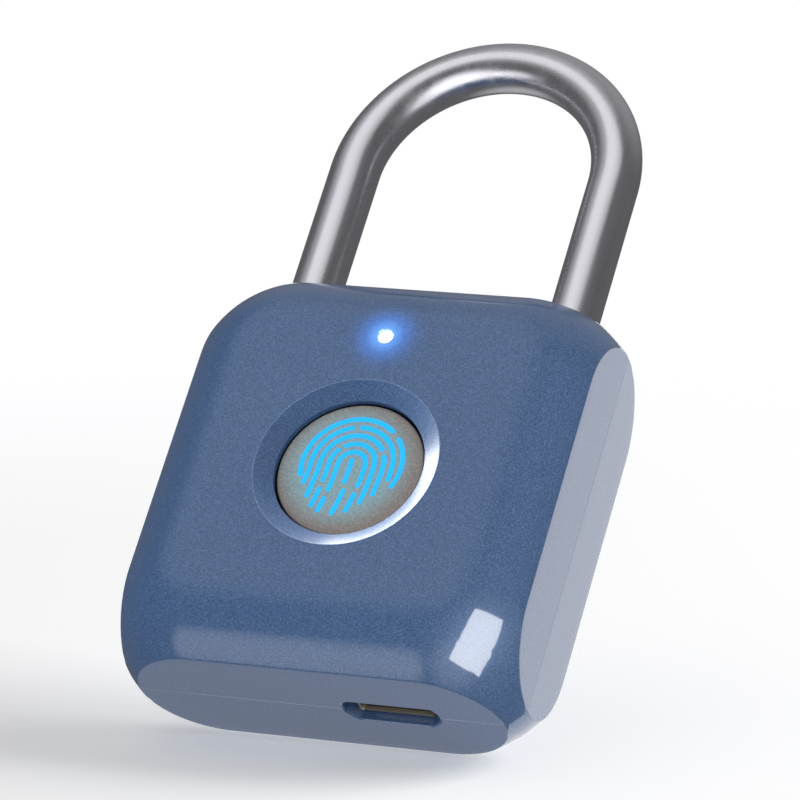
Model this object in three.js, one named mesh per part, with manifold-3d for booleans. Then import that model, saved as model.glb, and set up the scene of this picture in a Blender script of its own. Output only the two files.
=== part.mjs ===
// Fingerprint padlock: two cast body halves, steel shackle, fingerprint sensor and a motor-driven bolt.
// Millimetres. X right, -Y front, +Z up. The origin is the middle of the bottom face.
import * as THREE from "three";
import { mergeVertices } from "three/addons/utils/BufferGeometryUtils.js";
import Module from "manifold-3d";

const wasm = await Module();
wasm.setup();

// Body
const WIDTH = 40;
const HEIGHT = 42;
const FRONT_THICK = 10.5;
const REAR_THICK = 9.5;
const WALL = 1.6;
const CORE_X = 11;
const FLAT_RADIUS = 2.5;
const PILLOW_REACH = 9.1;
const FRONT_CURVE = 1.76;
const SIDE_DRAFT = 0.2;
const FAR = 30;

// Shackle
const ROD_R = 2.5;
const LEG_X = 13.5;
const BOW_Z = 59.5;
const LONG_TIP_Z = 14;
const SHORT_TIP_Z = 32.2;
const LEG_HOLE_R = 2.75;
const SEAL_R = 3.5;
const SEAL_TOP_Z = 41.4;
const NOTCH_Z = 35;
const NOTCH_FLOOR_X = 13;
const CLIP_Z = 15.4;
const CLIP_T = 0.8;
const CLIP_GROOVE_R = 1.9;
const CLIP_R = 3.4;

// Sensor and indicator
const SENSOR_Z = 20.2;
const CONE_R = 9.0;
const LIP_R = 7.34;
const LIP_DEPTH = 1.0;
const DISC_R = 7.15;
const DISC_DEPTH = 1.4;
const LED_Z = 34.2;
const LED_HOLE_R = 0.75;

// Charging slot
const PORT_X = 7.1;
const PORT_Y = 0.15;
const PORT_W = 9.45;
const PORT_T = 3.1;

// Locking gear
const CHASSIS = { halfX: 17.3, halfY: 3.8, z0: 26.6, z1: 40.1 };
const MODULE = 0.5;
const TEETH = 8;
const PITCH_R = (MODULE * TEETH) / 2;
const PINION_X = 5;
const PINION_Z = 31;
const BOLT = { x0: 0, x1: 10.6, halfY: 1.4, z0: 33.6, z1: 36.4 };
const MOTOR_R = 3;
const MOTOR_Y0 = 2.2;
const MOTOR_Y1 = 7.6;

// Boards, battery and screws
const BOARD = { y0: -2.2, y1: -1.2, x0: -9.6, x1: 16, z0: 3.2, z1: 26 };
const SENSOR_BOARD = { y0: -6.7, y1: -5.9, z0: 12, z1: 36.6, halfX: 7.5 };
const BATTERY = { halfX: 9, y0: 2.2, y1: 7, z0: 12, z1: 26 };
const SCREW_X = 8.2;
const SCREW_ZS = [9.4, 38.4];
const SCREW_HEAD_Y = 7.75;
const SCREW_HEAD_R = 1.7;
const SCREW_R = 0.8;
const BOSS_R = 2.15;

const LOOKS = {
  paint: { color: 0x2f4a86, roughness: 0.38, metalness: 0.6 },
  steel: { color: 0xc9ccd6, roughness: 0.25, metalness: 1 },
  zinc: { color: 0x9a9ca0, roughness: 0.5, metalness: 0.9 },
  brass: { color: 0xc8a24a, roughness: 0.35, metalness: 0.95 },
  glass: { color: 0x938579, roughness: 0.3, metalness: 0 },
  lens: { color: 0xbfe6ff, roughness: 0.15, metalness: 0 },
  board: { color: 0x1f6b3a, roughness: 0.6, metalness: 0 },
  chip: { color: 0x1c1c1e, roughness: 0.55, metalness: 0 },
  plastic: { color: 0x26272b, roughness: 0.6, metalness: 0 },
  cream: { color: 0xd9c9a8, roughness: 0.5, metalness: 0 },
  rubber: { color: 0x1b1b1d, roughness: 0.9, metalness: 0 },
  foil: { color: 0xb9bcc2, roughness: 0.4, metalness: 0.8 },
  red: { color: 0xb3231f, roughness: 0.6, metalness: 0 },
  black: { color: 0x17171a, roughness: 0.6, metalness: 0 },
};

const group = new THREE.Group();

function solid(geometry) {
  const plain = geometry.index ? geometry.toNonIndexed() : geometry.clone();
  plain.deleteAttribute("normal");
  plain.deleteAttribute("uv");
  const merged = mergeVertices(plain, 1e-4);
  return new wasm.Manifold(
    new wasm.Mesh({
      numProp: 3,
      vertProperties: merged.attributes.position.array,
      triVerts: new Uint32Array(merged.index.array),
    }),
  );
}

function geometryOf(manifold) {
  const mesh = manifold.getMesh();
  const geometry = new THREE.BufferGeometry();
  geometry.setAttribute("position", new THREE.BufferAttribute(mesh.vertProperties, 3));
  geometry.setIndex(new THREE.BufferAttribute(mesh.triVerts, 1));
  const flat = geometry.toNonIndexed();
  flat.computeVertexNormals();
  return flat;
}

function addPart(name, look, shape) {
  const geometry = shape.isBufferGeometry ? shape : geometryOf(shape);
  const mesh = new THREE.Mesh(geometry, new THREE.MeshStandardMaterial(LOOKS[look]));
  mesh.name = name;
  group.add(mesh);
}

function box(x0, x1, y0, y1, z0, z1) {
  const geometry = new THREE.BoxGeometry(x1 - x0, y1 - y0, z1 - z0);
  return geometry.translate((x0 + x1) / 2, (y0 + y1) / 2, (z0 + z1) / 2);
}

function boxSolid(...limits) {
  return solid(box(...limits));
}

// A cylinder along Y from y0 to y1.
function pegY(x, z, y0, y1, radius, sides = 16, endRadius = radius) {
  const geometry = new THREE.CylinderGeometry(endRadius, radius, y1 - y0, sides);
  return geometry.translate(x, (y0 + y1) / 2, z);
}

// A cylinder along Z from z0 to z1.
function pegZ(x, y, z0, z1, radius, sides = 16, endRadius = radius) {
  const geometry = new THREE.CylinderGeometry(endRadius, radius, z1 - z0, sides);
  return geometry.rotateX(Math.PI / 2).translate(x, y, (z0 + z1) / 2);
}

function ringY(x, z, y0, y1, inner, outer, sides) {
  return solid(pegY(x, z, y0, y1, outer, sides)).subtract(
    solid(pegY(x, z, y0 - 1, y1 + 1, inner, sides)),
  );
}

function ringZ(x, z0, z1, inner, outer, sides) {
  return solid(pegZ(x, 0, z0, z1, outer, sides)).subtract(
    solid(pegZ(x, 0, z0 - 1, z1 + 1, inner, sides)),
  );
}

function roundedRect(halfW, halfH, radius) {
  const shape = new THREE.Shape();
  const corners = [
    [halfW - radius, halfH - radius, 0],
    [radius - halfW, halfH - radius, 1],
    [radius - halfW, radius - halfH, 2],
    [halfW - radius, radius - halfH, 3],
  ];
  for (const [x, y, turn] of corners) {
    const start = (turn * Math.PI) / 2;
    shape.absarc(x, y, radius, start, start + Math.PI / 2, false);
  }
  shape.closePath();
  return shape;
}

// Extrudes an outline drawn in X and Z along Y.
function plateXZ(shape, y0, y1) {
  const settings = { depth: y1 - y0, bevelEnabled: false, curveSegments: 4 };
  return new THREE.ExtrudeGeometry(shape, settings).rotateX(Math.PI / 2).translate(0, y1, 0);
}

// Extrudes an outline drawn in X and Y along Z.
function plateXY(shape, z0, z1) {
  const settings = { depth: z1 - z0, bevelEnabled: false, curveSegments: 4 };
  return new THREE.ExtrudeGeometry(shape, settings).translate(0, 0, z0);
}

// Turns the elliptical edge of the front half into a superellipse, which leaves the corners as they are.
function bendEdge(geometry, thick) {
  const place = geometry.attributes.position;
  for (let i = 0; i < place.count; i += 1) {
    const part = -place.getY(i) / thick;
    if (part > 0 && part < 1) {
      const across = Math.sqrt(1 - part * part);
      place.setY(i, -thick * (1 - across ** FRONT_CURVE) ** (1 / FRONT_CURVE));
    }
  }
}

// One half of the pillow, shrunk by an inset, with its widest section at the parting plane.
function halfPillow(side, inset) {
  const coreZ = HEIGHT / 2 - (WIDTH / 2 - CORE_X);
  const thick = (side < 0 ? FRONT_THICK : REAR_THICK) - inset;
  const outline = roundedRect(CORE_X + FLAT_RADIUS, coreZ + FLAT_RADIUS, FLAT_RADIUS);
  const geometry = new THREE.ExtrudeGeometry(outline, {
    depth: 1,
    bevelThickness: thick,
    bevelSize: PILLOW_REACH - inset,
    bevelSegments: 6,
    curveSegments: 4,
  });
  geometry.rotateX(side < 0 ? Math.PI / 2 : -Math.PI / 2);
  geometry.translate(0, side < 0 ? 1 : -1, HEIGHT / 2);
  if (side < 0) {
    bendEdge(geometry, thick);
  }
  return solid(geometry);
}

// The box that trims one half: its left and right sides lean in away from the parting plane.
function trimBox(side, inset) {
  const half = WIDTH / 2 - inset;
  const outline = new THREE.Shape();
  const face = side < 0 ? -FRONT_THICK : REAR_THICK;
  const points = [
    [-half, 0],
    [half, 0],
    [half - SIDE_DRAFT, face],
    [SIDE_DRAFT - half, face],
  ];
  outline.setFromPoints(points.map(([x, y]) => new THREE.Vector2(x, y)));
  return solid(plateXY(outline, inset, HEIGHT - inset));
}

function hollowHalf(side) {
  const outer = halfPillow(side, 0).intersect(trimBox(side, 0));
  const inner = halfPillow(side, WALL).intersect(trimBox(side, WALL));
  return outer.subtract(inner);
}

function portOutline(grow) {
  const halfW = PORT_W / 2 + grow;
  const halfT = PORT_T / 2 + grow;
  const points = [
    [-halfW, halfT - 1.2],
    [-halfW, 0.5 - halfT],
    [0.9 - halfW, -halfT],
    [halfW - 0.5, -halfT],
    [halfW, 0.9 - halfT],
    [halfW, halfT - 1.1],
    [halfW - 1.2, halfT],
    [1.2 - halfW, halfT],
  ];
  const shape = new THREE.Shape();
  shape.setFromPoints(points.map(([x, y]) => new THREE.Vector2(PORT_X + x, PORT_Y + y)));
  return shape;
}

// Everything that both halves are opened for: leg holes, seal seats and the charging slot.
function sharedOpenings() {
  let cut = solid(plateXY(portOutline(0), -1, WALL + 1));
  for (const x of [-LEG_X, LEG_X]) {
    cut = cut.add(solid(pegZ(x, 0, CHASSIS.z1, HEIGHT + 1, LEG_HOLE_R, 20)));
    cut = cut.add(solid(pegZ(x, 0, CHASSIS.z1, SEAL_TOP_Z, SEAL_R, 20)));
  }
  return cut;
}

function screwPlaces() {
  return SCREW_ZS.flatMap((z) => [-SCREW_X, SCREW_X].map((x) => [x, z]));
}

// The round opening: a conical chamfer down to a straight bore.
function sensorRecess() {
  const flare = (CONE_R - LIP_R) / LIP_DEPTH;
  const profile = [
    [0, -5],
    [LIP_R, -5],
    [LIP_R, LIP_DEPTH - FRONT_THICK],
    [CONE_R + flare, -FRONT_THICK - 1],
    [0, -FRONT_THICK - 1],
  ].map(([radius, y]) => new THREE.Vector2(radius, -y));
  const tool = new THREE.LatheGeometry(profile, 36).rotateX(Math.PI).translate(0, 0, SENSOR_Z);
  return solid(tool);
}

function frontShell() {
  let shell = hollowHalf(-1);
  const within = halfPillow(-1, WALL / 2).intersect(trimBox(-1, WALL / 2));
  for (const [x, z] of screwPlaces()) {
    const reach = z > HEIGHT / 2 ? -CHASSIS.halfY - 0.1 : -0.3;
    shell = shell.add(solid(pegY(x, z, -FRONT_THICK, reach, BOSS_R)).intersect(within));
    shell = shell.subtract(solid(pegY(x, z, 1.2 - FRONT_THICK, 1, SCREW_R + 0.06, 12)));
  }
  shell = shell.subtract(sensorRecess());
  shell = shell.subtract(solid(pegY(0, LED_Z, -FRONT_THICK - 1, -5, LED_HOLE_R, 12)));
  return shell.subtract(sharedOpenings());
}

function rearShell() {
  let shell = hollowHalf(1);
  const within = halfPillow(1, WALL / 2).intersect(trimBox(1, WALL / 2));
  for (const [x, z] of screwPlaces()) {
    const reach = z > HEIGHT / 2 ? CHASSIS.halfY + 0.1 : 0;
    shell = shell.add(solid(pegY(x, z, reach, REAR_THICK, BOSS_R + 0.3)).intersect(within));
    shell = shell.subtract(solid(pegY(x, z, -1, REAR_THICK, SCREW_R + 0.2, 12)));
    shell = shell.subtract(solid(pegY(x, z, SCREW_HEAD_Y, REAR_THICK + 1, SCREW_HEAD_R + 0.25, 20)));
  }
  return shell.subtract(sharedOpenings());
}

// The rod's centre line from the long leg's tip, over the bow, to the short leg's tip.
class ShackleCurve extends THREE.Curve {
  getPoint(t, target = new THREE.Vector3()) {
    const longLeg = BOW_Z - LONG_TIP_Z;
    const bow = Math.PI * LEG_X;
    const along = t * (longLeg + bow + BOW_Z - SHORT_TIP_Z);
    if (along < longLeg) {
      return target.set(-LEG_X, 0, LONG_TIP_Z + along);
    }
    if (along > longLeg + bow) {
      return target.set(LEG_X, 0, BOW_Z - (along - longLeg - bow));
    }
    const turn = Math.PI - (along - longLeg) / LEG_X;
    return target.set(LEG_X * Math.cos(turn), 0, BOW_Z + LEG_X * Math.sin(turn));
  }
}

function circle(radius, sides) {
  const points = [];
  for (let i = 0; i < sides; i += 1) {
    const turn = (i / sides) * 2 * Math.PI;
    points.push(new THREE.Vector2(radius * Math.cos(turn), radius * Math.sin(turn)));
  }
  return new THREE.Shape(points);
}

function tube(curve, radius, sides, steps) {
  return new THREE.ExtrudeGeometry(circle(radius, sides), {
    steps,
    extrudePath: curve,
    bevelEnabled: false,
  });
}

function shackle() {
  let rod = solid(tube(new ShackleCurve(), ROD_R, 16, 48));
  const reach = 2 * ROD_R;
  rod = rod.subtract(boxSolid(LEG_X - reach, NOTCH_FLOOR_X, -reach, reach, NOTCH_Z - 1.7, NOTCH_Z + 1.7));
  return rod.subtract(ringZ(-LEG_X, CLIP_Z - 0.1, CLIP_Z + CLIP_T + 0.1, CLIP_GROOVE_R, 2 * ROD_R, 18));
}

function shackleClip() {
  const ring = ringZ(-LEG_X, CLIP_Z, CLIP_Z + CLIP_T, CLIP_GROOVE_R + 0.06, CLIP_R, 18);
  return ring.subtract(boxSolid(-LEG_X - 1.1, -LEG_X + 1.1, -2 * CLIP_R, 0, CLIP_Z - 1, CLIP_Z + 2));
}

class Helix extends THREE.Curve {
  constructor(x, z0, z1, radius, turns) {
    super();
    Object.assign(this, { x, z0, z1, radius, turns });
  }

  getPoint(t, target = new THREE.Vector3()) {
    const turn = t * this.turns * 2 * Math.PI;
    const z = this.z0 + t * (this.z1 - this.z0);
    return target.set(this.x + this.radius * Math.cos(turn), this.radius * Math.sin(turn), z);
  }
}

const SPRING_WIRE_R = 0.3;
const SPRING_SEAT_Z = 3.2;

function ejectorSpring() {
  const z0 = SPRING_SEAT_Z + SPRING_WIRE_R + 0.05;
  const z1 = LONG_TIP_Z - SPRING_WIRE_R - 0.05;
  return tube(new Helix(-LEG_X, z0, z1, 1.7, 5), SPRING_WIRE_R, 5, 50);
}

function springSeat() {
  const foot = solid(pegZ(-LEG_X, 0, WALL, SPRING_SEAT_Z, 2.4));
  return foot.add(solid(pegZ(-LEG_X, 0, SPRING_SEAT_Z - 0.5, SPRING_SEAT_Z + 3, 1.1, 12)));
}

function lockChassis() {
  const { halfX, halfY, z0, z1 } = CHASSIS;
  const outline = roundedRect(halfX, (z1 - z0) / 2, 2.6);
  let block = solid(plateXZ(outline, -halfY, halfY).translate(0, 0, (z0 + z1) / 2));
  for (const x of [-LEG_X, LEG_X]) {
    block = block.subtract(solid(pegZ(x, 0, z0 - 1, z1 + 1, LEG_HOLE_R, 18)));
  }
  for (const x of [-SCREW_X, SCREW_X]) {
    block = block.subtract(solid(pegY(x, SCREW_ZS[1], -halfY - 1, halfY + 1, SCREW_R + 0.2, 12)));
  }
  const channel = boxSolid(BOLT.x0 - 0.4, LEG_X, -1.6, 1.6, BOLT.z0 - 0.2, BOLT.z1 + 0.2);
  const pocket = pegY(PINION_X, PINION_Z, -1.6, 1.6, PITCH_R + 1, 20);
  const teethRoom = boxSolid(PINION_X - 4.6, PINION_X + 5.3, -1.6, 1.6, PINION_Z, BOLT.z1);
  const motorHole = pegY(PINION_X, PINION_Z, 0, halfY + 1, MOTOR_R + 0.2, 20);
  const lightening = boxSolid(-8.6, -2, -halfY - 1, halfY + 1, z0 + 2, z1 - 4.4);
  return block
    .subtract(channel)
    .subtract(solid(pocket))
    .subtract(teethRoom)
    .subtract(solid(motorHole))
    .subtract(lightening);
}

// The bolt's rack hangs below it; its pitch line touches the pinion's pitch circle.
function lockingBolt() {
  const { x0, x1, halfY, z0, z1 } = BOLT;
  const pitch = Math.PI * MODULE;
  const pitchZ = PINION_Z + PITCH_R;
  let bolt = boxSolid(x0, x1, -halfY, halfY, z0 + 0.05, z1);
  for (let i = -2; i <= 1; i += 1) {
    const x = PINION_X + (i + 0.5) * pitch;
    const tooth = new THREE.Shape();
    const points = [
      [x - 0.42, z0 + 0.3],
      [x - 0.16, pitchZ - 0.4],
      [x + 0.16, pitchZ - 0.4],
      [x + 0.42, z0 + 0.3],
    ];
    tooth.setFromPoints(points.map(([px, pz]) => new THREE.Vector2(px, pz)));
    bolt = bolt.add(solid(plateXZ(tooth, -halfY, halfY)));
  }
  return bolt;
}

function drivePinion() {
  const root = PITCH_R - 0.65;
  const tip = PITCH_R + 0.42;
  const points = [];
  for (let i = 0; i < TEETH; i += 1) {
    const middle = Math.PI / 2 + (i / TEETH) * 2 * Math.PI;
    for (const [offset, radius] of [
      [-0.26, root],
      [-0.07, tip],
      [0.07, tip],
      [0.26, root],
    ]) {
      const turn = middle + offset;
      points.push(new THREE.Vector2(radius * Math.cos(turn), radius * Math.sin(turn)));
    }
  }
  const wheel = plateXZ(new THREE.Shape(points), -1.3, 1.3).translate(PINION_X, 0, PINION_Z);
  return solid(wheel).add(solid(pegY(PINION_X, PINION_Z, -1.45, MOTOR_Y0 - 0.1, 0.7, 12)));
}

function lockMotor() {
  const can = solid(pegY(PINION_X, PINION_Z, MOTOR_Y0, MOTOR_Y1, MOTOR_R, 20));
  const flats = boxSolid(PINION_X - 4, PINION_X + 4, MOTOR_Y0 - 1, MOTOR_Y1 + 1, PINION_Z - 2.6, PINION_Z + 2.6);
  return can.intersect(flats);
}

function sensorDisc() {
  const face = DISC_DEPTH - FRONT_THICK;
  return pegY(0, SENSOR_Z, face, -7.3, DISC_R, 36);
}

function sensorHolder() {
  const dish = solid(pegY(0, SENSOR_Z, -7.3, SENSOR_BOARD.y0, 8.5, 36));
  return dish.subtract(boxSolid(-2.5, 2.5, -7, -6, SENSOR_Z - 2.5, SENSOR_Z + 2.5));
}

function sensorBoard() {
  const { y0, y1, z0, z1, halfX } = SENSOR_BOARD;
  const wide = boxSolid(-halfX, halfX, y0, y1, z0, 30);
  return wide.add(boxSolid(-2.6, 2.6, y0, y1, 29, z1));
}

function mainBoard() {
  const { y0, y1, x0, x1, z0, z1 } = BOARD;
  let plate = boxSolid(x0, x1, y0, y1, z0, z1);
  for (const x of [-SCREW_X, SCREW_X]) {
    plate = plate.subtract(solid(pegY(x, SCREW_ZS[0], y0 - 1, y1 + 1, BOSS_R + 0.3)));
  }
  plate = plate.subtract(boxSolid(x0 - 1, -5.6, y0 - 1, y1 + 1, z0 - 1, SCREW_ZS[0]));
  return plate.subtract(boxSolid(14.6, x1 + 1, y0 - 1, y1 + 1, z0 - 1, 5));
}

function chargingPort() {
  const x0 = PORT_X - 3.75;
  const x1 = PORT_X + 3.75;
  const y0 = BOARD.y1;
  const y1 = BOARD.y1 + 2.7;
  const can = boxSolid(x0, x1, y0, y1, 1, 6.2);
  return can.subtract(boxSolid(x0 + 0.3, x1 - 0.3, y0 + 0.3, y1 - 0.3, 0, 5.6));
}

function portTongue() {
  const y = BOARD.y1 + 1.35;
  return box(PORT_X - 2.6, PORT_X + 2.6, y - 0.35, y + 0.35, 1.6, 5.55);
}

function portGasket() {
  const ring = boxSolid(PORT_X - 5.4, PORT_X + 5.4, -2, 2.3, WALL, 2.6);
  return ring.subtract(boxSolid(PORT_X - 3.85, PORT_X + 3.85, -1.3, 1.6, 0, 4));
}

function smooth(points) {
  return new THREE.CatmullRomCurve3(points.map((p) => new THREE.Vector3(...p)));
}

function sensorFlex() {
  const centre = [
    [SENSOR_BOARD.y1 + 0.35, 14],
    [SENSOR_BOARD.y1 + 0.7, 18],
    [-4.2, 21],
    [BOARD.y0 - 1, 18],
    [BOARD.y0 - 0.35, 14],
  ];
  const path = smooth(centre.map(([y, z]) => [0, y, z]));
  const strip = new THREE.Shape();
  strip.setFromPoints(
    [
      [-2.5, -0.12],
      [2.5, -0.12],
      [2.5, 0.12],
      [-2.5, 0.12],
    ].map(([a, b]) => new THREE.Vector2(a, b)),
  );
  return new THREE.ExtrudeGeometry(strip, { steps: 20, extrudePath: path, bevelEnabled: false });
}

function wire(points) {
  return tube(smooth(points), 0.4, 6, 14);
}

// A flat seal strip set into the middle of the wall at the parting plane, cut to three runs.
const SEAL_HALF_W = 0.35;
const SEAL_DEPTH = 0.6;

function sealLoop(grow) {
  const outline = roundedRect(WIDTH / 2 - 0.8 + grow, HEIGHT / 2 - 0.8 + grow, 4.5);
  return solid(plateXZ(outline, 0, SEAL_DEPTH).translate(0, 0, HEIGHT / 2));
}

function sealBand(slack) {
  const outer = sealLoop(SEAL_HALF_W + slack);
  return outer.subtract(sealLoop(-SEAL_HALF_W - slack));
}

const SEAL_RUNS = {
  seal_top: [-LEG_X + 4.2, LEG_X - 4.2, HEIGHT - 4, HEIGHT],
  seal_left: [-FAR, PORT_X - PORT_W / 2 - 1, 0, HEIGHT],
  seal_right: [PORT_X + PORT_W / 2 + 1, FAR, 0, HEIGHT],
};

function sealRun(name, slack) {
  const [x0, x1, z0, z1] = SEAL_RUNS[name];
  const run = boxSolid(x0 - slack, x1 + slack, -FAR, FAR, z0 - slack, z1 + slack);
  const band = sealBand(slack).intersect(run);
  if (name === "seal_top") {
    return band;
  }
  const legZone = boxSolid(-LEG_X - 4.2 + slack, LEG_X + 4.2 - slack, -FAR, FAR, HEIGHT / 2, FAR + HEIGHT);
  return band.subtract(legZone);
}

function addBody() {
  let rear = rearShell();
  for (const name of Object.keys(SEAL_RUNS)) {
    rear = rear.subtract(sealRun(name, 0.05));
  }
  addPart("front_shell", "paint", frontShell());
  addPart("rear_shell", "paint", rear);
  for (const name of Object.keys(SEAL_RUNS)) {
    addPart(name, "rubber", sealRun(name, 0));
  }
  for (const [name, x] of [
    ["leg_seal_left", -LEG_X],
    ["leg_seal_right", LEG_X],
  ]) {
    addPart(name, "rubber", ringZ(x, CHASSIS.z1 + 0.1, SEAL_TOP_Z - 0.1, ROD_R + 0.12, SEAL_R - 0.06, 20));
  }
}

function addShackle() {
  addPart("shackle", "steel", shackle());
  addPart("shackle_clip", "steel", shackleClip());
  addPart("ejector_spring", "steel", ejectorSpring());
  addPart("spring_seat", "plastic", springSeat());
}

function addLock() {
  addPart("lock_chassis", "zinc", lockChassis());
  addPart("locking_bolt", "brass", lockingBolt());
  addPart("drive_pinion", "brass", drivePinion());
  addPart("lock_motor", "zinc", lockMotor());
}

function addSensor() {
  addPart("sensor_disc", "glass", sensorDisc());
  const gasketFront = WALL + 0.05 - FRONT_THICK;
  addPart("sensor_gasket", "rubber", ringY(0, SENSOR_Z, gasketFront, -7.35, LIP_R + 0.1, 8.4, 36));
  addPart("sensor_holder", "plastic", sensorHolder());
  addPart("sensor_board", "board", sensorBoard());
  addPart("sensor_flex", "cream", sensorFlex());
  addPart("status_led", "cream", box(-0.8, 0.8, -7.2, SENSOR_BOARD.y0, LED_Z - 0.5, LED_Z + 0.5));
  addPart("light_pipe", "lens", pegY(0, LED_Z, 0.1 - FRONT_THICK, -7.3, LED_HOLE_R - 0.05, 12));
}

function addElectronics() {
  const { y0, y1 } = BOARD;
  addPart("main_board", "board", mainBoard());
  addPart("control_chip", "chip", box(-2, 3, y0 - 0.9, y0, 6, 11));
  addPart("charge_chip", "chip", box(12, 14.4, y1, y1 + 0.9, 9, 12));
  addPart("charging_port", "steel", chargingPort());
  addPart("port_tongue", "cream", portTongue());
  addPart("port_gasket", "rubber", portGasket());
}

function addPower() {
  const { halfX, y0, y1, z0, z1 } = BATTERY;
  const outline = roundedRect(halfX, (z1 - z0) / 2, 1);
  addPart("battery", "foil", plateXZ(outline, y0, y1).translate(0, 0, (z0 + z1) / 2));
  addPart("battery_pad", "rubber", box(-7, 7, y1, REAR_THICK - WALL, z0 + 1.5, z1 - 1.5));
  const leads = { red: 23, black: 21 };
  for (const [name, z] of Object.entries(leads)) {
    const run = [
      [halfX + 0.3, 4.5, z],
      [halfX + 2, 4, z],
      [halfX + 3.4, 1.5, z - 1.5],
      [halfX + 3.6, BOARD.y1 + 0.35, z - 3],
    ];
    addPart("battery_lead_" + name, name, wire(run));
  }
  for (const [name, shift] of [
    ["a", 0],
    ["b", 1.2],
  ]) {
    const run = [
      [PINION_X + MOTOR_R + 0.35, 6.2, PINION_Z - 1.2 + shift],
      [PINION_X + MOTOR_R + 2.5, 6 + shift / 4, PINION_Z - 2.5 + shift],
      [PINION_X + MOTOR_R + 6, 5.2, 26 + shift],
      [PINION_X + MOTOR_R + 6.6, 1.5, 23 + shift],
      [PINION_X + MOTOR_R + 6.6, BOARD.y1 + 0.35, 20 + shift],
    ];
    addPart("motor_lead_" + name, name === "a" ? "red" : "black", wire(run));
  }
}

// A countersunk-seat screw with a six-lobe style socket cut as a hexagon.
function caseScrew(x, z) {
  const head = solid(pegY(x, z, SCREW_HEAD_Y, SCREW_HEAD_Y + 1.1, SCREW_HEAD_R, 20));
  const shank = solid(pegY(x, z, -6.8, SCREW_HEAD_Y + 0.1, SCREW_R, 12));
  const socket = solid(pegY(x, z, SCREW_HEAD_Y + 0.5, SCREW_HEAD_Y + 2, 0.9, 6));
  return head.add(shank).subtract(socket);
}

addBody();
addShackle();
addLock();
addSensor();
addElectronics();
addPower();
screwPlaces().forEach(([x, z], i) => addPart("case_screw_" + (i + 1), "steel", caseScrew(x, z)));

export default group;
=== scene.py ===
"""Fingerprint padlock: fine surfaces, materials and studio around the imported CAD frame."""

import math

import bmesh
import bpy
from mathutils import Matrix, Vector


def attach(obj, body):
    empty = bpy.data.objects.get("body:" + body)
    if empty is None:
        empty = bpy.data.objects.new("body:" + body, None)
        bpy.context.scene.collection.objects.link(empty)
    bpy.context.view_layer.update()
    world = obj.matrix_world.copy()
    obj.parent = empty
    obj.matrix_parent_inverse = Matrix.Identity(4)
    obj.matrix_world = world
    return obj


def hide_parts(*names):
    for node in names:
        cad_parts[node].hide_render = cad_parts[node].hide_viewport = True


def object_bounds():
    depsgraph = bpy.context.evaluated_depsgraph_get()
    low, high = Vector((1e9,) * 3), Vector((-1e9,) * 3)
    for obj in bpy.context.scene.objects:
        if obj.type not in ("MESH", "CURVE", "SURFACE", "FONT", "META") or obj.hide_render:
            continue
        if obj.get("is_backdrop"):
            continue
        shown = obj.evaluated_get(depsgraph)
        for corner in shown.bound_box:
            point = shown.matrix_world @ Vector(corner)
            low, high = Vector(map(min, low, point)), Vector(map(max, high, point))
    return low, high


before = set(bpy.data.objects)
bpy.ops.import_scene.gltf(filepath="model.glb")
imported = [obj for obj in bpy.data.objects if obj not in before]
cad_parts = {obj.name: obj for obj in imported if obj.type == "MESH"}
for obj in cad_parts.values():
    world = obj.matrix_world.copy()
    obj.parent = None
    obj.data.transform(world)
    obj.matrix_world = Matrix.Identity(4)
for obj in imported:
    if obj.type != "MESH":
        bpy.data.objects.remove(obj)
cad_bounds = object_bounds()

MM = 0.001
scene = bpy.context.scene
scene.view_settings.view_transform = "Standard"

# The body and what sits in it, in millimetres, as in the CAD part
HALF_W = 20.0
HALF_H = 21.0
MID_Z = 21.0
FRONT_T = 10.5
REAR_T = 9.5
WALL = 1.6
CORE_X = 11.0
CORE_Z = 12.0
FLAT_R = 2.5
REACH = 9.1
FRONT_CURVE = 1.76
DRAFT = 0.2
SENSOR_Z = 20.2
CONE_R = 9.0
LIP_R = 7.34
LIP_DEPTH = 1.0
LED_Z = 34.2
LEG_X = 13.5
ROD_R = 2.5
BOW_Z = 59.5
LONG_TIP = 14.0
SHORT_TIP = 32.2
PORT_X = 7.1
PORT_Y = 0.15
PORT_W = 9.45
PORT_T = 3.1
CONTACT_PITCH = 0.65
SCREW_SEAT_Y = 7.75
SCREWS = [(x, z) for z in (9.4, 38.4) for x in (-8.2, 8.2)]
# Depth and edge exponent of each half, by the side of the parting plane it is on
HALVES = {-1: (FRONT_T, FRONT_CURVE), 1: (REAR_T, 2.0)}
# Front of the sensor window, and the back ends of the window and the indicator's lens
WINDOW_Y = 1.4 - FRONT_T
INNER_Y = -7.3
# How finely the body is skinned: columns on each side and corner, rings across the flat face
SIDE_COLUMNS = 44
CORNER_COLUMNS = 44
FACE_RINGS = 8
# The fine edges that the CAD part leaves out
EDGE_FILLET = 0.16
SEAM_Y = 0.05
SEAM_PULL = 0.01
LAND_Y = 0.004
THIN_FLAT = 0.3


def new_object(name, verts, faces, smooth_angle=30.0):
    mesh = bpy.data.meshes.new(name)
    mesh.from_pydata([Vector(v) * MM for v in verts], [], faces)
    tidy_mesh(mesh, smooth_angle)
    obj = bpy.data.objects.new(name, mesh)
    scene.collection.objects.link(obj)
    return obj


def tidy_mesh(mesh, smooth_angle=30.0):
    """Joins doubled points, turns the faces outward and smooths all but the sharp edges."""
    bm = bmesh.new()
    bm.from_mesh(mesh)
    bmesh.ops.remove_doubles(bm, verts=bm.verts, dist=1e-8)
    bmesh.ops.recalc_face_normals(bm, faces=bm.faces)
    bm.to_mesh(mesh)
    bm.free()
    mesh.shade_smooth()
    mesh.set_sharp_from_angle(angle=math.radians(smooth_angle))


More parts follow.
